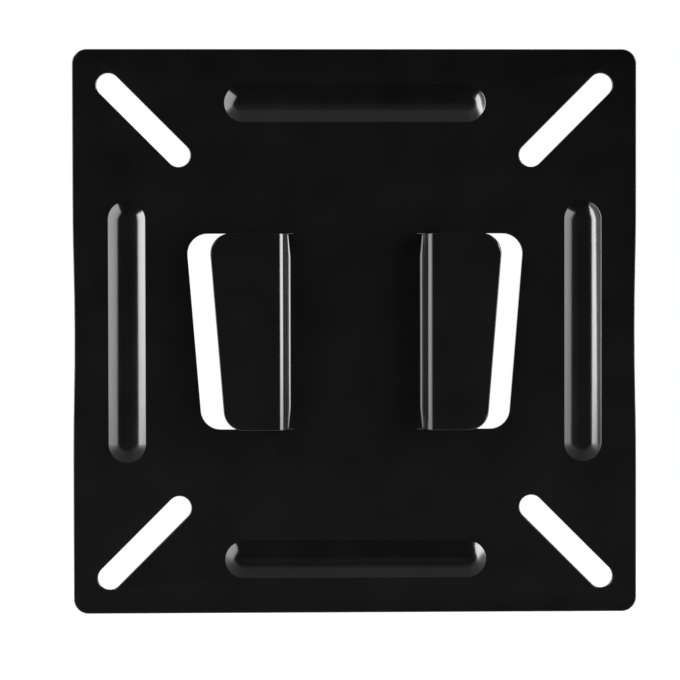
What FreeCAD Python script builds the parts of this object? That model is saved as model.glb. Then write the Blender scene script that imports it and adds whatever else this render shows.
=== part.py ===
import FreeCAD, Part
import math
import os
from collections import namedtuple
from enum import IntEnum

import Sketcher

# A square mounting plate for a screen, pressed from one sheet of steel.
# Millimetres. X runs to the right, Y from the wall side to the screen side and Z up.
# The flat back of the plate lies in the plane Y = 0, with its centre at the origin.
# The stiffening beads and the two hooking tongues rise from the front, towards -Y.

NODE = "mounting_plate"

# Driving dimensions: alias, value in millimetres (or as noted), meaning.
SIZES = [
    ("sheet_thickness", 1.2, "steel sheet with its paint"),
    ("large_pattern", 100, "side of the larger square of screen screws"),
    ("small_pattern", 75, "side of the smaller square of screen screws"),
    ("edge_margin", 8.4, "from the larger screw square to the plate's edge"),
    ("corner_radius", 3, "plate corners"),
    ("slot_width", 4.9, "clears the screen screws"),
    ("slot_overrun", 1.4, "slot travel past the screw places at each end"),
    ("edge_break", 0.2, "bevel that takes the sharpness off the sheet's edges"),
    ("bead_inset", 11.15, "from the plate's edge to a bead's centre line"),
    ("bead_length", 54.4, "bead from end to end"),
    ("bead_width", 8, "bead across its roots"),
    ("bead_height", 1.26, "bead crown above the plate's front"),
    ("bead_root_radius", 0.5, "hollow radius where a bead leaves the plate"),
    ("side_draw", 0.32, "how far an upright bead pulls in the plate's edge beside it"),
    ("fold_spacing", 26.1, "between the fold lines of the two tongues"),
    ("fold_land", 0.2, "flat strip that stays with a tongue in front of its fold line"),
    ("lance_reach", 20.35, "from the fold line to the lanced edge at half height"),
    ("tongue_height", 40.5, "tongue along its fold"),
    ("tongue_taper", 4.7, "degrees between the free edge and the fold line"),
    ("tongue_corner", 4.15, "corners of the free edge"),
    ("lance_clearance", 0.02, "shear gap between a tongue and its window"),
    ("hook_gap", 5.2, "space between the plate's front and a tongue's back"),
    ("upper_bend_radius", 0.85, "inside radius where a tongue turns level again"),
    ("lower_bend_radius", 1.2, "inside radius where a tongue leaves the plate"),
    ("hollow_end_radius", 0.55, "inside radius of the lower bend at the two ends of the fold"),
    ("hollow_end_run", 4.5, "stretch over which the lower bend tightens to that radius"),
    ("neutral_share", 0.46, "share of the thickness at which a bend keeps its length"),
]

# The plate is square, so its slots and beads repeat on four sides.
SIDES = 4
FULL_TURN = 360
HALF_TURN = 180
RIGHT_ANGLE = 90
# Two faces that meet at more than this angle have a sharp edge between them.
SHARP_ANGLE = math.radians(30)
FLAT_TOLERANCE = 1e-6

# Sizes that follow from the driving dimensions, as expressions on the sheet.
HALF_SIDE = "(Sizes.large_pattern / 2 + Sizes.edge_margin)"
SLOT_OUTER = "(Sizes.large_pattern / 2 + Sizes.slot_overrun / sqrt(2))"
SLOT_INNER = "(Sizes.small_pattern / 2 - Sizes.slot_overrun / sqrt(2))"
BEAD_OFFSET = f"({HALF_SIDE} - Sizes.bead_inset)"
BEAD_RUN = "(Sizes.bead_length - Sizes.bead_width)"
BEAD_ARC_SUM = "((Sizes.bead_width^2 / 4 + Sizes.bead_height^2) / (2 * Sizes.bead_height))"
# A drawn side leaves its line beside a bead's end, and comes back at the other, in arcs of one radius.
DRAW_HALF = "(Sizes.bead_length / 2)"
DRAW_RADIUS = f"(({DRAW_HALF}^2 + Sizes.side_draw^2) / (4 * Sizes.side_draw))"
FOLD_X = "(Sizes.fold_spacing / 2)"
WINDOW_ROOT = f"({FOLD_X} - Sizes.fold_land)"
WINDOW_EDGE = f"({FOLD_X} + Sizes.lance_reach)"
WINDOW_HEIGHT = "(Sizes.tongue_height + 2 * Sizes.lance_clearance)"
WINDOW_CORNER = "(Sizes.tongue_corner + Sizes.lance_clearance)"
LOWER_BEND_BACK = "(Sizes.lower_bend_radius + Sizes.sheet_thickness)"
WALL_FRONT = f"({FOLD_X} + Sizes.lower_bend_radius)"
TONGUE_BACK = "(Sizes.sheet_thickness + Sizes.hook_gap)"
BEND_RADII = "(Sizes.lower_bend_radius + Sizes.upper_bend_radius)"
WALL_RUN = f"(Sizes.hook_gap - {BEND_RADII})"
BENDS_ACROSS = f"({BEND_RADII} + Sizes.sheet_thickness)"
BENDS_ALONG = f"(pi * ({BEND_RADII} / 2 + Sizes.neutral_share * Sizes.sheet_thickness))"
# The two bends use up sheet, so the free edge draws back from the window that it was cut from.
DRAW_BACK = f"({BENDS_ALONG} + {WALL_RUN} - {BENDS_ACROSS})"
TONGUE_ROOT = f"({FOLD_X} + {BENDS_ACROSS})"
TONGUE_EDGE = f"({WINDOW_EDGE} - Sizes.lance_clearance - {DRAW_BACK})"

# Positions on a piece of a sketch, and a piece with its ends in the order of the outline.
At = IntEnum("At", "START END CENTRE")
Piece = namedtuple("Piece", "index start end")
ORIGIN = (-1, At.START)


def make_sheet(doc):
    sheet = doc.addObject("Spreadsheet::Sheet", "Sizes")
    for row, (alias, value, meaning) in enumerate(SIZES, start=1):
        sheet.set(f"A{row}", alias)
        sheet.set(f"B{row}", str(value))
        sheet.set(f"C{row}", meaning)
        sheet.setAlias(f"B{row}", alias)
    doc.recompute()
    return sheet


def value_of(sheet, expression):
    return float(sheet.evalExpression(expression))


def origin_feature(body, role):
    return next(feature for feature in body.Origin.OriginFeatures if feature.Role == role)


def new_sketch(body, role, name):
    sketch = body.newObject("Sketcher::SketchObject", name)
    sketch.AttachmentSupport = (origin_feature(body, role), [""])
    sketch.MapMode = "FlatFace"
    return sketch


def add_line(sketch, start, end):
    line = Part.LineSegment(FreeCAD.Vector(*start, 0), FreeCAD.Vector(*end, 0))
    return Piece(sketch.addGeometry(line), At.START, At.END)


def add_arc(sketch, centre, radius, first, last):
    """Draw an arc between two angles in degrees, backwards where the second is the smaller."""
    circle = Part.Circle(FreeCAD.Vector(*centre, 0), FreeCAD.Vector(0, 0, 1), radius)
    low, high = sorted((math.radians(first), math.radians(last)))
    index = sketch.addGeometry(Part.ArcOfCircle(circle, low, high))
    return Piece(index, At.START, At.END) if first < last else Piece(index, At.END, At.START)


def join(sketch, pieces, joints):
    """Close an outline: each piece meets the next one tangent, square or at a plain corner."""
    kinds = {"smooth": "Tangent", "square": "Perpendicular", "corner": "Coincident"}
    followers = pieces[1:] + pieces[:1]
    for piece, follower, joint in zip(pieces, followers, joints):
        ends = (piece.index, piece.end, follower.index, follower.start)
        sketch.addConstraint(Sketcher.Constraint(kinds[joint], *ends))


def fix(sketch, kind, *places):
    return sketch.addConstraint(Sketcher.Constraint(kind, *places))


def size(sheet, sketch, expression, kind, *places):
    """Add a dimension to a sketch and tie it to the sheet."""
    index = fix(sketch, kind, *places, value_of(sheet, expression))
    sketch.setExpression(f"Constraints[{index}]", expression)


def tie(feature, **expressions):
    for name, expression in expressions.items():
        feature.setExpression(name, expression)


def add_drawn_side(sheet, sketch, turn):
    """Draw an upright side, straight but for its middle; turn is 0 for the right and 180 for the left."""
    half = value_of(sheet, HALF_SIDE)
    flat = half - value_of(sheet, "Sizes.corner_radius")
    reach = value_of(sheet, DRAW_HALF)
    radius = value_of(sheet, DRAW_RADIUS)
    waist_x = half - value_of(sheet, "Sizes.side_draw") + radius
    swing = math.degrees(math.asin(reach / 2 / radius))
    facing = turn + HALF_TURN
    way = 1 if turn == 0 else -1
    low = add_line(sketch, (way * half, -way * flat), (way * half, -way * reach))
    leave = add_arc(sketch, (way * (half - radius), -way * reach), radius, turn, turn + swing)
    waist = add_arc(sketch, (way * waist_x, 0), radius, facing + swing, facing - swing)
    back = add_arc(sketch, (way * (half - radius), way * reach), radius, turn - swing, turn)
    high = add_line(sketch, (way * half, way * reach), (way * half, way * flat))
    return [low, leave, waist, back, high]


def size_drawn_side(sheet, sketch, side, turn):
    low, leave, waist, back, high = side
    first = (low.index, low.end)
    last = (high.index, high.start)
    for line, end in ((low, first), (high, last)):
        fix(sketch, "Vertical", line.index)
        places = (*ORIGIN, *end) if turn == 0 else (*end, *ORIGIN)
        size(sheet, sketch, HALF_SIDE, "DistanceX", *places)
    lower, upper = (first, last) if turn == 0 else (last, first)
    size(sheet, sketch, DRAW_HALF, "DistanceY", *lower, *ORIGIN)
    size(sheet, sketch, DRAW_HALF, "DistanceY", *ORIGIN, *upper)
    size(sheet, sketch, DRAW_RADIUS, "Radius", waist.index)
    fix(sketch, "Equal", waist.index, leave.index)
    fix(sketch, "Equal", waist.index, back.index)


def draw_plate_outline(sheet, sketch):
    """Draw the rounded square of the plate, with its upright sides drawn in beside their beads."""
    half = value_of(sheet, HALF_SIDE)
    round_ = value_of(sheet, "Sizes.corner_radius")
    flat = half - round_
    bottom = add_line(sketch, (-flat, -half), (flat, -half))
    low_right = add_arc(sketch, (flat, -flat), round_, -RIGHT_ANGLE, 0)
    right = add_drawn_side(sheet, sketch, 0)
    high_right = add_arc(sketch, (flat, flat), round_, 0, RIGHT_ANGLE)
    top = add_line(sketch, (flat, half), (-flat, half))
    high_left = add_arc(sketch, (-flat, flat), round_, RIGHT_ANGLE, HALF_TURN)
    left = add_drawn_side(sheet, sketch, HALF_TURN)
    low_left = add_arc(sketch, (-flat, -flat), round_, HALF_TURN, HALF_TURN + RIGHT_ANGLE)
    pieces = [bottom, low_right, *right, high_right, top, high_left, *left, low_left]
    join(sketch, pieces, ["smooth"] * len(pieces))
    for line in (bottom, top):
        fix(sketch, "Horizontal", line.index)
    for corner in (high_right, high_left, low_left):
        fix(sketch, "Equal", low_right.index, corner.index)
    size(sheet, sketch, "Sizes.corner_radius", "Radius", low_right.index)
    size(sheet, sketch, HALF_SIDE, "DistanceY", *ORIGIN, top.index, top.start)
    size(sheet, sketch, HALF_SIDE, "DistanceY", bottom.index, bottom.start, *ORIGIN)
    size_drawn_side(sheet, sketch, right, 0)
    size_drawn_side(sheet, sketch, left, HALF_TURN)


def draw_stadium(sheet, sketch, first_centre, second_centre, radius, turn):
    """Draw a round-ended slot between two centres, given as expressions; turn is its direction."""
    first = [value_of(sheet, expression) for expression in first_centre]
    second = [value_of(sheet, expression) for expression in second_centre]
    round_ = value_of(sheet, radius)
    side_x = -round_ * math.sin(math.radians(turn))
    side_y = round_ * math.cos(math.radians(turn))

    def beside(point, side):
        return (point[0] + side * side_x, point[1] + side * side_y)

    lower = add_line(sketch, beside(first, -1), beside(second, -1))
    far_end = add_arc(sketch, second, round_, turn - RIGHT_ANGLE, turn + RIGHT_ANGLE)
    upper = add_line(sketch, beside(second, 1), beside(first, 1))
    near_end = add_arc(sketch, first, round_, turn + RIGHT_ANGLE, turn + RIGHT_ANGLE + HALF_TURN)
    pieces = [lower, far_end, upper, near_end]
    join(sketch, pieces, ["smooth"] * len(pieces))
    fix(sketch, "Equal", near_end.index, far_end.index)
    size(sheet, sketch, radius, "Radius", far_end.index)
    for arc, centre in ((near_end, first_centre), (far_end, second_centre)):
        for kind, expression in zip(("DistanceX", "DistanceY"), centre):
            size(sheet, sketch, expression, kind, *ORIGIN, arc.index, At.CENTRE)


def draw_bead_section(sheet, sketch):
    """Draw half of a bead's section, an even wall from its middle out to its root.

    The sketch's x runs from front to back and its y from the middle to the root.
    """
    wall = value_of(sheet, "Sizes.sheet_thickness")
    height = value_of(sheet, "Sizes.bead_height")
    half_width = value_of(sheet, "Sizes.bead_width / 2")
    root_radius = value_of(sheet, "Sizes.bead_root_radius")
    arc_sum = value_of(sheet, BEAD_ARC_SUM)
    crown_radius = arc_sum - root_radius
    crown_centre = (crown_radius - height - wall, 0)
    root_centre = (-wall - root_radius, half_width)
    slope = math.degrees(math.asin(half_width / arc_sum))
    middle = add_line(sketch, (-height, 0), (-height - wall, 0))
    crown_front = add_arc(sketch, crown_centre, crown_radius, HALF_TURN, HALF_TURN - slope)
    root_front = add_arc(sketch, root_centre, root_radius, -slope, 0)
    edge = add_line(sketch, (-wall, half_width), (0, half_width))
    root_back = add_arc(sketch, root_centre, root_radius + wall, 0, -slope)
    crown_back = add_arc(sketch, crown_centre, crown_radius - wall, HALF_TURN - slope, HALF_TURN)
    pieces = [middle, crown_front, root_front, edge, root_back, crown_back]
    join(sketch, pieces, ["square", "smooth", "square", "square", "smooth", "square"])
    fix(sketch, "Horizontal", middle.index)
    fix(sketch, "Horizontal", *ORIGIN, middle.index, middle.start)
    fix(sketch, "Horizontal", edge.index)
    fix(sketch, "Vertical", *ORIGIN, edge.index, edge.end)
    fix(sketch, "Equal", middle.index, edge.index)
    size(sheet, sketch, "Sizes.sheet_thickness", "Distance", edge.index)
    size(sheet, sketch, "Sizes.bead_width / 2", "DistanceY", *ORIGIN, edge.index, edge.end)
    crown_top = (middle.index, middle.end)
    size(sheet, sketch, "Sizes.bead_height", "DistanceX", *crown_top, edge.index, edge.start)
    size(sheet, sketch, "Sizes.bead_root_radius", "Radius", root_front.index)
    back_radius = "Sizes.bead_root_radius + Sizes.sheet_thickness"
    size(sheet, sketch, back_radius, "Radius", root_back.index)


def draw_tongue_outline(sheet, sketch, root, edge, height, corner):
    """Draw a tongue or its window: square at the root, rounded and tapered at the free edge."""
    root_x = value_of(sheet, root)
    edge_x = value_of(sheet, edge)
    half = value_of(sheet, f"{height} / 2")
    round_ = value_of(sheet, corner)
    taper = value_of(sheet, "Sizes.tongue_taper")
    slant = math.radians(taper)
    corner_z = half - round_
    low_x = edge_x - (round_ + corner_z * math.sin(slant)) / math.cos(slant)
    high_x = edge_x - (round_ - corner_z * math.sin(slant)) / math.cos(slant)
    along = (round_ * math.cos(slant), -round_ * math.sin(slant))
    bottom = add_line(sketch, (root_x, -half), (low_x, -half))
    low_corner = add_arc(sketch, (low_x, -corner_z), round_, -RIGHT_ANGLE, -taper)
    low_end = (low_x + along[0], -corner_z + along[1])
    high_end = (high_x + along[0], corner_z + along[1])
    free = add_line(sketch, low_end, high_end)
    high_corner = add_arc(sketch, (high_x, corner_z), round_, -taper, RIGHT_ANGLE)
    top = add_line(sketch, (high_x, half), (root_x, half))
    fold = add_line(sketch, (root_x, half), (root_x, -half))
    pieces = [bottom, low_corner, free, high_corner, top, fold]
    join(sketch, pieces, ["smooth", "smooth", "smooth", "smooth", "corner", "corner"])
    middle = sketch.addGeometry(Part.Point(FreeCAD.Vector(edge_x, 0, 0)), True)
    fix(sketch, "PointOnObject", middle, At.START, free.index)
    fix(sketch, "Horizontal", *ORIGIN, middle, At.START)
    fix(sketch, "Horizontal", bottom.index)
    fix(sketch, "Horizontal", top.index)
    fix(sketch, "Vertical", fold.index)
    fix(sketch, "Equal", low_corner.index, high_corner.index)
    size(sheet, sketch, corner, "Radius", low_corner.index)
    size(sheet, sketch, f"{height} / 2", "DistanceY", *ORIGIN, top.index, top.end)
    size(sheet, sketch, f"{height} / 2", "DistanceY", bottom.index, bottom.start, *ORIGIN)
    size(sheet, sketch, root, "DistanceX", *ORIGIN, fold.index, fold.start)
    size(sheet, sketch, edge, "DistanceX", *ORIGIN, middle, At.START)
    lean = fix(sketch, "Angle", free.index, math.radians(RIGHT_ANGLE - taper))
    sketch.setExpression(f"Constraints[{lean}]", f"{RIGHT_ANGLE} - Sizes.tongue_taper")


def draw_joggle(sheet, sketch):
    """Draw the section of a tongue's two bends, from the plate out to the tongue's flat.

    The inner corner of the lower bend is left square, for its hollow to be laid in.
    """
    wall = value_of(sheet, "Sizes.sheet_thickness")
    upper_back = value_of(sheet, "Sizes.upper_bend_radius")
    upper_front = upper_back + wall
    lower_back = value_of(sheet, LOWER_BEND_BACK)
    land = value_of(sheet, WINDOW_ROOT)
    fold = value_of(sheet, FOLD_X)
    front = value_of(sheet, WALL_FRONT)
    flat = value_of(sheet, TONGUE_ROOT)
    back = -value_of(sheet, TONGUE_BACK)
    high = back + upper_back
    foot_back = add_line(sketch, (land, 0), (fold, 0))
    rise_back = add_arc(sketch, (fold, -lower_back), lower_back, RIGHT_ANGLE, 0)
    wall_back = add_line(sketch, (front + wall, -lower_back), (front + wall, high))
    level_back = add_arc(sketch, (flat, high), upper_back, HALF_TURN, HALF_TURN + RIGHT_ANGLE)
    end = add_line(sketch, (flat, back), (flat, back - wall))
    level_front = add_arc(sketch, (flat, high), upper_front, HALF_TURN + RIGHT_ANGLE, HALF_TURN)
    wall_front = add_line(sketch, (front, high), (front, -wall))
    foot_front = add_line(sketch, (front, -wall), (land, -wall))
    root = add_line(sketch, (land, -wall), (land, 0))
    pieces = [foot_back, rise_back, wall_back, level_back, end, level_front, wall_front, foot_front, root]
    join(sketch, pieces, ["smooth"] * 3 + ["square"] * 2 + ["smooth"] + ["square"] * 3)
    for line in (root, end, wall_back):
        fix(sketch, "Vertical", line.index)
    fix(sketch, "Horizontal", *ORIGIN, root.index, root.end)
    size(sheet, sketch, WINDOW_ROOT, "DistanceX", *ORIGIN, root.index, root.end)
    size(sheet, sketch, FOLD_X, "DistanceX", *ORIGIN, rise_back.index, At.CENTRE)
    size(sheet, sketch, LOWER_BEND_BACK, "Radius", rise_back.index)
    size(sheet, sketch, "Sizes.upper_bend_radius", "Radius", level_back.index)
    size(sheet, sketch, "Sizes.sheet_thickness", "Distance", root.index)
    size(sheet, sketch, "Sizes.sheet_thickness", "Distance", end.index)
    size(sheet, sketch, WALL_FRONT, "DistanceX", *ORIGIN, wall_front.index, wall_front.end)
    size(sheet, sketch, TONGUE_BACK, "DistanceY", end.index, end.start, *ORIGIN)


def draw_hollow(sheet, sketch, radius):
    """Draw the section of the hollow in front of a tongue's lower bend; its radius is an expression."""
    front = value_of(sheet, WALL_FRONT)
    wall = value_of(sheet, "Sizes.sheet_thickness")
    round_ = value_of(sheet, radius)
    up = add_line(sketch, (front, -wall), (front, -wall - round_))
    hollow = add_arc(sketch, (front - round_, -wall - round_), round_, 0, RIGHT_ANGLE)
    across = add_line(sketch, (front - round_, -wall), (front, -wall))
    join(sketch, [up, hollow, across], ["smooth", "smooth", "square"])
    fix(sketch, "Vertical", up.index)
    size(sheet, sketch, radius, "Radius", hollow.index)
    size(sheet, sketch, WALL_FRONT, "DistanceX", *ORIGIN, up.index, up.start)
    size(sheet, sketch, "Sizes.sheet_thickness", "DistanceY", up.index, up.start, *ORIGIN)


def sharp_edges(shape, keep=lambda edge: True):
    """Name the edges where two faces of a shape meet at an angle."""
    names = []
    for number, edge in enumerate(shape.Edges, start=1):
        point = edge.valueAt((edge.FirstParameter + edge.LastParameter) / 2)
        faces = shape.ancestorsOfType(edge, Part.Face)
        normals = [face.normalAt(*face.Surface.parameter(point)) for face in faces]
        sharp = len(normals) == 2 and normals[0].getAngle(normals[1]) > SHARP_ANGLE
        if sharp and keep(edge):
            names.append(f"Edge{number}")
    return names


def break_edges(body, name, keep=lambda edge: True):
    base = body.Tip
    bevel = body.newObject("PartDesign::Chamfer", name)
    bevel.Base = (base, sharp_edges(base.Shape, keep))
    tie(bevel, Size="Sizes.edge_break")
    body.Document.recompute()


def cut_through(body, name, sketch):
    """Cut a sketch that lies in the plate's back face through the sheet."""
    cut = body.newObject("PartDesign::Pocket", name)
    cut.Profile = sketch
    cut.Reversed = True
    tie(cut, Length="Sizes.sheet_thickness")
    return cut


def repeat_on_sides(body, name, features):
    pattern = body.newObject("PartDesign::PolarPattern", name)
    pattern.Originals = features
    pattern.Axis = (origin_feature(body, "Y_Axis"), [""])
    pattern.Angle = FULL_TURN
    pattern.Occurrences = SIDES
    body.Tip = pattern
    body.Document.recompute()


def make_bead(sheet, body):
    """Open the plate along the upper side and close it again with a bead's curved wall."""
    half_run = f"({BEAD_RUN} / 2)"
    outline = new_sketch(body, "XZ_Plane", "BeadOutline")
    draw_stadium(
        sheet,
        outline,
        (f"-{half_run}", BEAD_OFFSET),
        (half_run, BEAD_OFFSET),
        "Sizes.bead_width / 2",
        0,
    )
    features = [cut_through(body, "BeadOpening", outline)]
    for name, turn in (("Upper", 0), ("Lower", HALF_TURN)):
        section = new_sketch(body, "YZ_Plane", f"{name}BeadSection")
        axis = FreeCAD.Vector(1, 0, 0)
        section.AttachmentOffset = FreeCAD.Placement(FreeCAD.Vector(), FreeCAD.Rotation(axis, turn))
        end = half_run if turn == 0 else f"-{half_run}"
        section.setExpression("AttachmentOffset.Base.y", BEAD_OFFSET)
        section.setExpression("AttachmentOffset.Base.z", end)
        draw_bead_section(sheet, section)
        run = body.newObject("PartDesign::Pad", f"{name}BeadRun")
        run.Profile = section
        run.Reversed = True
        tie(run, Length=BEAD_RUN)
        cap = body.newObject("PartDesign::Revolution", f"{name}BeadEnd")
        cap.Profile = section
        cap.ReferenceAxis = (section, ["H_Axis"])
        cap.Angle = HALF_TURN
        features += [run, cap]
    return features


def make_plate(sheet, doc):
    """The flat of the sheet: outline, screw slots, beads and the windows of the tongues."""
    body = doc.addObject("PartDesign::Body", "Plate")
    outline = new_sketch(body, "XZ_Plane", "PlateOutline")
    draw_plate_outline(sheet, outline)
    blank = body.newObject("PartDesign::Pad", "Blank")
    blank.Profile = outline
    tie(blank, Length="Sizes.sheet_thickness")

    slot = new_sketch(body, "XZ_Plane", "SlotOutline")
    diagonal = RIGHT_ANGLE / 2
    ends = ((SLOT_INNER, SLOT_INNER), (SLOT_OUTER, SLOT_OUTER))
    draw_stadium(sheet, slot, *ends, "Sizes.slot_width / 2", diagonal)
    repeat_on_sides(body, "Slots", [cut_through(body, "Slot", slot)])
    break_edges(body, "BrokenRims")

    repeat_on_sides(body, "Beads", make_bead(sheet, body))

    window = new_sketch(body, "XZ_Plane", "WindowOutline")
    draw_tongue_outline(sheet, window, WINDOW_ROOT, WINDOW_EDGE, WINDOW_HEIGHT, WINDOW_CORNER)
    opening = cut_through(body, "Window", window)
    windows = body.newObject("PartDesign::Mirrored", "Windows")
    windows.Originals = [opening]
    windows.MirrorPlane = (origin_feature(body, "YZ_Plane"), [""])
    body.Tip = windows
    doc.recompute()
    return body


def make_hollow(sheet, body):
    """Lay the hollow in the corner of the lower bend, between the bevels. It tightens at both ends."""
    end_level = "(Sizes.tongue_height / 2 - Sizes.edge_break)"
    full_level = f"({end_level} - Sizes.hollow_end_run)"
    stations = [
        ("Lowest", f"-{end_level}", "Sizes.hollow_end_radius"),
        ("Low", f"-{full_level}", "Sizes.lower_bend_radius"),
        ("High", full_level, "Sizes.lower_bend_radius"),
        ("Highest", end_level, "Sizes.hollow_end_radius"),
    ]
    sections = []
    for name, level, radius in stations:
        section = new_sketch(body, "XY_Plane", f"{name}HollowSection")
        section.setExpression("AttachmentOffset.Base.z", level)
        draw_hollow(sheet, section, radius)
        sections.append(section)
    hollow = body.newObject("PartDesign::AdditiveLoft", "RootHollow")
    hollow.Profile = sections[0]
    hollow.Sections = sections[1:]
    hollow.Ruled = True
    body.Document.recompute()


def make_tongue(sheet, doc):
    """The right tongue: two bends that lift it off the plate, then its tapered flat."""
    body = doc.addObject("PartDesign::Body", "Tongue")
    section = new_sketch(body, "XY_Plane", "JoggleSection")
    draw_joggle(sheet, section)
    joggle = body.newObject("PartDesign::Pad", "Joggle")
    joggle.Profile = section
    joggle.Midplane = True
    height = "Sizes.tongue_height"
    tie(joggle, Length=height)

    outline = new_sketch(body, "XZ_Plane", "TongueOutline")
    outline.setExpression("AttachmentOffset.Base.z", TONGUE_BACK)
    draw_tongue_outline(sheet, outline, TONGUE_ROOT, TONGUE_EDGE, height, "Sizes.tongue_corner")
    flat = body.newObject("PartDesign::Pad", "TongueFlat")
    flat.Profile = outline
    tie(flat, Length="Sizes.sheet_thickness")
    doc.recompute()

    root = value_of(sheet, WINDOW_ROOT)

    def is_rim(edge):
        """The rims go round the tongue; the edges at its root and in its lower bend run straight up."""
        box = edge.BoundBox
        return box.XMax > root + FLAT_TOLERANCE and box.XLength + box.YLength > FLAT_TOLERANCE

    break_edges(body, "BrokenTongueEdges", is_rim)
    make_hollow(sheet, body)
    return body


def make_mounting_plate(sheet, doc):
    plate = make_plate(sheet, doc)
    right_tongue = make_tongue(sheet, doc)
    left_tongue = doc.addObject("Part::Mirroring", "LeftTongue")
    left_tongue.Source = right_tongue
    left_tongue.Normal = FreeCAD.Vector(1, 0, 0)
    whole = doc.addObject("Part::MultiFuse", "MountingPlate")
    whole.Shapes = [plate, right_tongue, left_tongue]
    whole.Refine = True
    whole.Label = NODE
    doc.recompute()
    return whole


def check(doc, whole):
    for item in doc.Objects:
        if {"Invalid", "Error"} & set(item.State):
            raise RuntimeError(f"{item.Label} failed: {item.State}")
    shape = whole.Shape
    if shape.isNull() or not shape.isValid() or len(shape.Solids) != 1:
        raise RuntimeError(f"{whole.Label} is not one valid solid")


def main():
    doc = FreeCAD.newDocument("MountingPlate")
    sheet = make_sheet(doc)
    whole = make_mounting_plate(sheet, doc)
    check(doc, whole)
    os.makedirs("parts", exist_ok=True)
    whole.Shape.exportStep(f"parts/{whole.Label}.step")


main()
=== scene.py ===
"""Looks of the screen's wall mount plate: black paint, studio light and the photograph's camera.

Everything is in metres, in the frame of the CAD model: +Z up, the flat back of the plate at Y = 0
facing +Y, and the beads and tongues towards -Y, where the camera stands.
"""

import math
from collections import namedtuple

import bpy
from mathutils import Matrix, Quaternion, Vector

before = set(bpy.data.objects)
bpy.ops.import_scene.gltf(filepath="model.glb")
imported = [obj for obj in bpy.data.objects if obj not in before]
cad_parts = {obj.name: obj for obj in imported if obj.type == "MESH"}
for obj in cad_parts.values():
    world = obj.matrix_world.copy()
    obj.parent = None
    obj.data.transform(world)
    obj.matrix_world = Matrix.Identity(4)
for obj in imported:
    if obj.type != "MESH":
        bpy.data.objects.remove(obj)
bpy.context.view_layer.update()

NODE = "mounting_plate"
WHITE = (1.0, 1.0, 1.0, 1.0)

# Camera: where it stands, the point of the plate at the middle of its picture, its roll, and its lens
# and sensor in millimetres.
CAMERA_PLACE = Vector((-0.01734, -0.54968, 0.00941))
CAMERA_TARGET = Vector((-0.00315, 0.0, -0.00180))
CAMERA_ROLL = math.radians(-0.112)
CAMERA_LENS = 140.2
SENSOR_WIDTH = 36.0

# Paint: a black coat, faintly clouded, with the waviness of a dipped and baked finish.
PAINT_BLACK = (0.0023, 0.0023, 0.0026)
PAINT_WORN_BLACK = (0.0078, 0.0078, 0.0089)
PAINT_IOR = 1.8
PAINT_ROUGHNESS = (0.12, 0.16)
# Specular level of the beads and bends, which are semi-gloss, and of the duller flats. The one turns
# into the other between these parts of the surface's direction along Y, which is 1 on the flats.
GLOSS_LEVELS = (0.5, 0.085)
GLOSS_TURN = (0.955, 0.99)
# Noise in the paint, as cells for each metre and finer layers: clouds, slow waves and orange peel.
MOTTLE_SCALE = 90.0
MOTTLE_DETAIL = 3.0
WAVE_SCALE = 160.0
WAVE_DETAIL = 1.0
WAVE_HEIGHT = 0.00001
PEEL_SCALE = 900.0
PEEL_DETAIL = 2.0
PEEL_HEIGHT = 0.000004

# Mesh finish: seams closer than this join up, so that the shading runs on from face to face.
SEAM_GAP = 0.000005
# Edges sharper than this stay sharp in the shading; the bevels shade as rounded edges.
CORNER_ANGLE = math.radians(60.0)

# Sheets of light beside the plate. Each has the X and Y of its near and far end, its lean over the
# plate, its lowest and highest level, its radiance at the near and far end, and its top there, as
# slopes seen from the plate's centre.
Panel = namedtuple("Panel", "near far lean levels radiance top")
PANELS = {
    "left_panel": Panel(
        near=(-0.17, -0.015),
        far=(-1.80, -2.43),
        lean=math.radians(24.0),
        levels=(-0.90, 2.30),
        radiance=(4.3, 0.9),
        top=(1.22, 1.22),
    ),
    "right_panel": Panel(
        near=(0.110, -0.039),
        far=(2.00, -2.42),
        lean=math.radians(10.0),
        levels=(-0.60, 1.80),
        radiance=(9.6, 4.5),
        top=(1.20, 0.65),
    ),
    "right_return": Panel(
        near=(0.102, -0.015),
        far=(0.110, -0.039),
        lean=math.radians(10.0),
        levels=(-0.12, 0.15),
        radiance=(0.80, 0.80),
        top=(1.20, 1.20),
    ),
}
# A sheet's light falls off with its reach, which is this power of the share of its length.
FALL_POWER = 0.45
# Share of a sheet's light at slopes below and above level: its foot fades out over the table.
FOOT_STEPS = (
    (-0.60, 0.0),
    (-0.40, 0.08),
    (-0.25, 0.28),
    (-0.10, 0.84),
    (0.05, 1.0),
)
# The top of a sheet has come to its far slope at this reach, and fades out over this much slope.
TOP_REACH = 0.5
TOP_FADE = 0.06
# A lamp's power for each unit of its radiance and area.
POWER_PER_RADIANCE = math.pi

# Room seen in the paint: a white backdrop behind the plate, which begins at these parts of a direction
# along Y, and in front a dark room, as its light at each height of a direction along Z.
BACKDROP_EDGE = (-0.05, 0.15)
ROOM_STEPS = (
    (-0.40, 0.05),
    (-0.25, 0.046),
    (-0.12, 0.052),
    (-0.02, 0.019),
    (0.08, 0.008),
    (0.2, 0.0),
)
# The room is this many times as light straight in front, where the dull flats mirror it. That fades
# out between these parts of a direction along Y.
FRONT_GAIN = 5.9
FRONT_EDGE = (-0.97, -0.86)
# Dim table under the room, with an oval gap round the camera. The gap's half width and half height are
# parts of a direction, its edge is a share of them, and the table's light is given round the gap, from
# its lowest point at -1 to its sides at 0.
TABLE_GAP = (0.60, 0.44)
TABLE_EDGE = (0.91, 1.09)
TABLE_STEPS = (
    (-1.0, 0.135),
    (-0.966, 0.185),
    (-0.85, 0.255),
    (-0.75, 0.317),
    (-0.617, 0.42),
    (-0.443, 0.62),
    (-0.233, 0.60),
    (0.0, 0.0),
)

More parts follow.
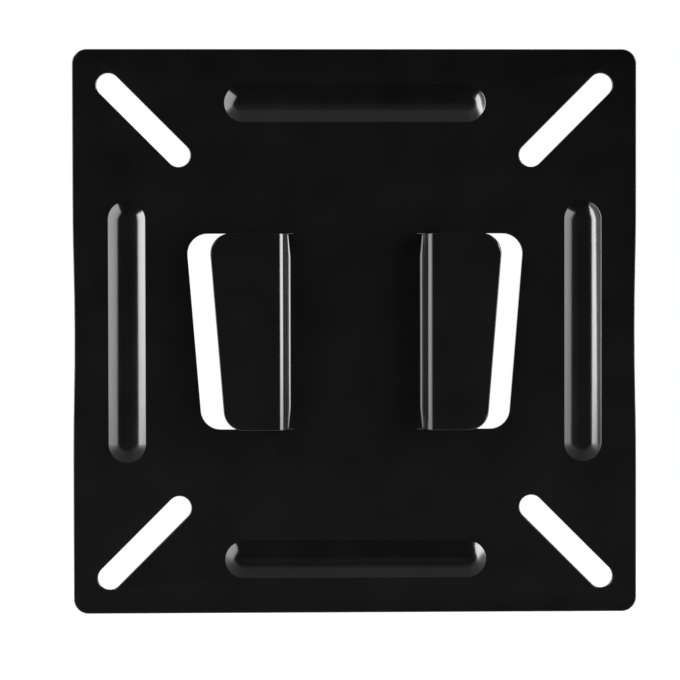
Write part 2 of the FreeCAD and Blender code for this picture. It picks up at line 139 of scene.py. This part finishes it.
# Floor: below and behind the plate, white to the eye, with the plate's shadow on it.
FLOOR_LEVEL = -0.30
FLOOR_FRONT = -0.06
FLOOR_BACK = 2.5
FLOOR_HALF_WIDTH = 2.0
FLOOR_COLOUR = (0.60, 0.60, 0.60)
FLOOR_ROUGHNESS = 1.0
FLOOR_GLOW = 0.75


# In the functions that build shaders, a value is a node together with the name of its output.


def link(tree, source, output, target, socket):
    """Leads an output of one node into a socket of another."""
    tree.links.new(source.outputs[output], target.inputs[socket])


def add_node(tree, kind, **values):
    """A new node, with the values of its sockets."""
    node = tree.nodes.new(kind)
    for name, value in values.items():
        node.inputs[name].default_value = value
    return node


def split(tree, source, output):
    """A node with the X, Y and Z of a vector."""
    node = add_node(tree, "ShaderNodeSeparateXYZ")
    link(tree, source, output, node, "Vector")
    return node


def calculate(tree, operation, first, second=None):
    """A calculation on one or two values. The second may also be a plain number."""
    node = add_node(tree, "ShaderNodeMath")
    node.operation = operation
    link(tree, *first, node, 0)
    if isinstance(second, float):
        node.inputs[1].default_value = second
    elif second:
        link(tree, *second, node, 1)
    return node, "Value"


def map_range(tree, value, ends, span=(0.0, 1.0), smooth=False):
    """Maps the span of a value to two ends, and holds it there."""
    node = add_node(tree, "ShaderNodeMapRange")
    node.interpolation_type = "SMOOTHSTEP" if smooth else "LINEAR"
    for name, limit in zip(("From Min", "From Max", "To Min", "To Max"), (*span, *ends)):
        node.inputs[name].default_value = limit
    link(tree, *value, node, "Value")
    return node, "Result"


def step_through(tree, value, steps):
    """Gives the level of each step at its position, blends from step to step and holds the end ones."""
    first, last = steps[0][0], steps[-1][0]
    node = add_node(tree, "ShaderNodeValToRGB")
    ramp = node.color_ramp.elements
    while len(ramp) < len(steps):
        ramp.new(position=0.5)
    for element, (position, level) in zip(ramp, steps):
        element.position = (position - first) / (last - first)
        element.color = (level, level, level, 1.0)
    link(tree, *map_range(tree, value, (0.0, 1.0), (first, last)), node, "Fac")
    return node, "Color"


def add_noise(tree, place, scale, detail):
    """Noise that stays where it is on the plate."""
    node = add_node(tree, "ShaderNodeTexNoise", Scale=scale, Detail=detail)
    link(tree, place, "Object", node, "Vector")
    return node, "Fac"


def make_paint():
    """Black paint: mottled in colour and gloss, duller on the flats, with a fine peel over slow waves."""
    paint = bpy.data.materials.new("black_paint")
    paint.use_nodes = True
    tree = paint.node_tree
    shader = tree.nodes["Principled BSDF"]
    shader.inputs["IOR"].default_value = PAINT_IOR
    place = add_node(tree, "ShaderNodeTexCoord")

    mottle = add_noise(tree, place, MOTTLE_SCALE, MOTTLE_DETAIL)
    colour = add_node(tree, "ShaderNodeValToRGB")
    colour.color_ramp.elements[0].color = (*PAINT_BLACK, 1.0)
    colour.color_ramp.elements[1].color = (*PAINT_WORN_BLACK, 1.0)
    link(tree, *mottle, colour, "Fac")
    link(tree, colour, "Color", shader, "Base Color")
    link(tree, *map_range(tree, mottle, PAINT_ROUGHNESS), shader, "Roughness")

    surface = add_node(tree, "ShaderNodeNewGeometry")
    flatness = calculate(tree, "ABSOLUTE", (split(tree, surface, "Normal"), "Y"))
    link(tree, *map_range(tree, flatness, GLOSS_LEVELS, GLOSS_TURN), shader, "Specular IOR Level")

    waves = add_node(tree, "ShaderNodeBump", Distance=WAVE_HEIGHT)
    link(tree, *add_noise(tree, place, WAVE_SCALE, WAVE_DETAIL), waves, "Height")
    peel = add_node(tree, "ShaderNodeBump", Distance=PEEL_HEIGHT)
    link(tree, *add_noise(tree, place, PEEL_SCALE, PEEL_DETAIL), peel, "Height")
    link(tree, waves, "Normal", peel, "Normal")
    link(tree, peel, "Normal", shader, "Normal")
    return paint


def finish_plate(plate, paint):
    """Paints the plate and lets its shading run on over the seams and the bevels."""
    plate.data.materials.clear()
    plate.data.materials.append(paint)
    weld = plate.modifiers.new("join_seams", "WELD")
    weld.merge_threshold = SEAM_GAP
    corners = plate.modifiers.new("split_corners", "EDGE_SPLIT")
    corners.split_angle = CORNER_ANGLE
    shading = plate.modifiers.new("even_shading", "WEIGHTED_NORMAL")
    shading.mode = "FACE_AREA_WITH_ANGLE"
    shading.keep_sharp = False


def shade_panel(tree, panel, near_first):
    """Lets a sheet of light fall off along its length, fade at its foot and end at its top."""
    place = add_node(tree, "ShaderNodeNewGeometry")
    sheet = split(tree, place, "Parametric")
    room = split(tree, place, "Position")

    share = map_range(tree, (sheet, "X"), (0.0, 1.0) if near_first else (1.0, 0.0))
    reach = calculate(tree, "POWER", share, FALL_POWER)
    radiance = map_range(tree, reach, panel.radiance)

    slope = calculate(tree, "DIVIDE", (room, "Z"), calculate(tree, "ABSOLUTE", (room, "X")))
    foot = step_through(tree, slope, FOOT_STEPS)
    top = map_range(tree, reach, panel.top, (0.0, TOP_REACH))
    below_top = map_range(tree, calculate(tree, "SUBTRACT", top, slope), (0.0, 1.0), (0.0, TOP_FADE))
    strength = calculate(tree, "MULTIPLY", radiance, calculate(tree, "MULTIPLY", foot, below_top))
    link(tree, *strength, tree.nodes["Emission"], "Strength")


def make_panel(name, panel):
    """A sheet of light that shines on the plate and that the camera doesn't see."""
    near = Vector((*panel.near, 0.0))
    far = Vector((*panel.far, 0.0))
    along = (far - near).normalized()
    # The lamp faces the plate, so its own X axis runs from the near end to the far one, or back.
    inward = Vector((0.0, 0.0, 1.0)).cross(along)
    near_first = inward.dot(near) < 0
    if not near_first:
        inward = -inward
    up = Vector((0.0, 0.0, math.cos(panel.lean))) + inward * math.sin(panel.lean)
    back = -inward * math.cos(panel.lean) + Vector((0.0, 0.0, math.sin(panel.lean)))
    low, high = (level / math.cos(panel.lean) for level in panel.levels)
    lamp = bpy.data.lights.new(name, "AREA")
    lamp.shape = "RECTANGLE"
    lamp.size = (far - near).length
    lamp.size_y = high - low
    lamp.energy = POWER_PER_RADIANCE * lamp.size * lamp.size_y
    lamp.use_nodes = True
    shade_panel(lamp.node_tree, panel, near_first)
    light = bpy.data.objects.new(name, lamp)
    middle = (near + far) / 2 + up * (low + high) / 2
    across = up.cross(back)
    light.matrix_world = Matrix.Translation(middle) @ Matrix((across, up, back)).transposed().to_4x4()
    light.visible_camera = False
    bpy.context.scene.collection.objects.link(light)


def light_table(tree, place):
    """The table's light in each direction, with none of it in the gap round the camera."""
    half_width, half_height = TABLE_GAP
    oval = add_node(tree, "ShaderNodeMapping", Scale=(1.0 / half_width, 0.0, 1.0 / half_height))
    link(tree, place, "Generated", oval, "Vector")
    distance = add_node(tree, "ShaderNodeVectorMath")
    distance.operation = "LENGTH"
    link(tree, oval, "Vector", distance, 0)
    around = add_node(tree, "ShaderNodeVectorMath")
    around.operation = "NORMALIZE"
    link(tree, oval, "Vector", around, 0)
    level = step_through(tree, (split(tree, around, "Vector"), "Z"), TABLE_STEPS)
    outside = map_range(tree, (distance, "Value"), (0.0, 1.0), TABLE_EDGE)
    return calculate(tree, "MULTIPLY", level, outside)


def make_world():
    """White to the camera all round. The paint sees white behind the plate and a dark room in front."""
    world = bpy.data.worlds.new("studio")
    world.use_nodes = True
    bpy.context.scene.world = world
    tree = world.node_tree
    tree.nodes.clear()
    place = add_node(tree, "ShaderNodeTexCoord")
    axes = split(tree, place, "Generated")

    gain = map_range(tree, (axes, "Y"), (FRONT_GAIN, 1.0), FRONT_EDGE)
    front = calculate(tree, "MULTIPLY", step_through(tree, (axes, "Z"), ROOM_STEPS), gain)
    level = calculate(tree, "ADD", front, light_table(tree, place))
    room = add_node(tree, "ShaderNodeBackground", Color=WHITE)
    link(tree, *level, room, "Strength")

    ray = add_node(tree, "ShaderNodeLightPath")
    seen = calculate(tree, "MAXIMUM", (ray, "Is Camera Ray"), (ray, "Is Transmission Ray"))
    behind = map_range(tree, (axes, "Y"), (0.0, 1.0), BACKDROP_EDGE, smooth=True)
    backdrop = add_node(tree, "ShaderNodeBackground", Color=WHITE, Strength=1.0)
    mix = add_node(tree, "ShaderNodeMixShader")
    link(tree, *calculate(tree, "MAXIMUM", seen, behind), mix, "Fac")
    link(tree, room, "Background", mix, 1)
    link(tree, backdrop, "Background", mix, 2)
    output = add_node(tree, "ShaderNodeOutputWorld")
    link(tree, mix, "Shader", output, "Surface")


def make_floor():
    """A pale floor. It glows a little to the eye, so that it is white outside the plate's shadow."""
    corners = [
        (-FLOOR_HALF_WIDTH, FLOOR_FRONT, FLOOR_LEVEL),
        (FLOOR_HALF_WIDTH, FLOOR_FRONT, FLOOR_LEVEL),
        (FLOOR_HALF_WIDTH, FLOOR_BACK, FLOOR_LEVEL),
        (-FLOOR_HALF_WIDTH, FLOOR_BACK, FLOOR_LEVEL),
    ]
    mesh = bpy.data.meshes.new("floor")
    mesh.from_pydata(corners, [], [range(len(corners))])
    floor = bpy.data.objects.new("floor", mesh)
    bpy.context.scene.collection.objects.link(floor)
    pale = bpy.data.materials.new("pale_floor")
    pale.use_nodes = True
    tree = pale.node_tree
    shader = tree.nodes["Principled BSDF"]
    shader.inputs["Base Color"].default_value = (*FLOOR_COLOUR, 1.0)
    shader.inputs["Roughness"].default_value = FLOOR_ROUGHNESS
    shader.inputs["Emission Color"].default_value = WHITE
    ray = add_node(tree, "ShaderNodeLightPath")
    mirrored = calculate(tree, "MAXIMUM", (ray, "Is Glossy Ray"), (ray, "Is Transmission Ray"))
    seen = calculate(tree, "MAXIMUM", (ray, "Is Camera Ray"), mirrored)
    link(tree, *map_range(tree, seen, (0.0, FLOOR_GLOW)), shader, "Emission Strength")
    mesh.materials.append(pale)


def make_camera():
    """The photograph's camera."""
    lens = bpy.data.cameras.new("camera")
    lens.lens = CAMERA_LENS
    lens.sensor_width = SENSOR_WIDTH
    lens.sensor_fit = "HORIZONTAL"
    camera = bpy.data.objects.new("camera", lens)
    camera.location = CAMERA_PLACE
    camera.rotation_mode = "QUATERNION"
    look = (CAMERA_TARGET - CAMERA_PLACE).to_track_quat("-Z", "Y")
    camera.rotation_quaternion = look @ Quaternion((0.0, 0.0, 1.0), CAMERA_ROLL)
    bpy.context.scene.collection.objects.link(camera)
    bpy.context.scene.camera = camera


bpy.context.scene.view_settings.view_transform = "Standard"
finish_plate(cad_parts[NODE], make_paint())
for panel_name, panel_values in PANELS.items():
    make_panel(panel_name, panel_values)
make_world()
make_floor()
make_camera()
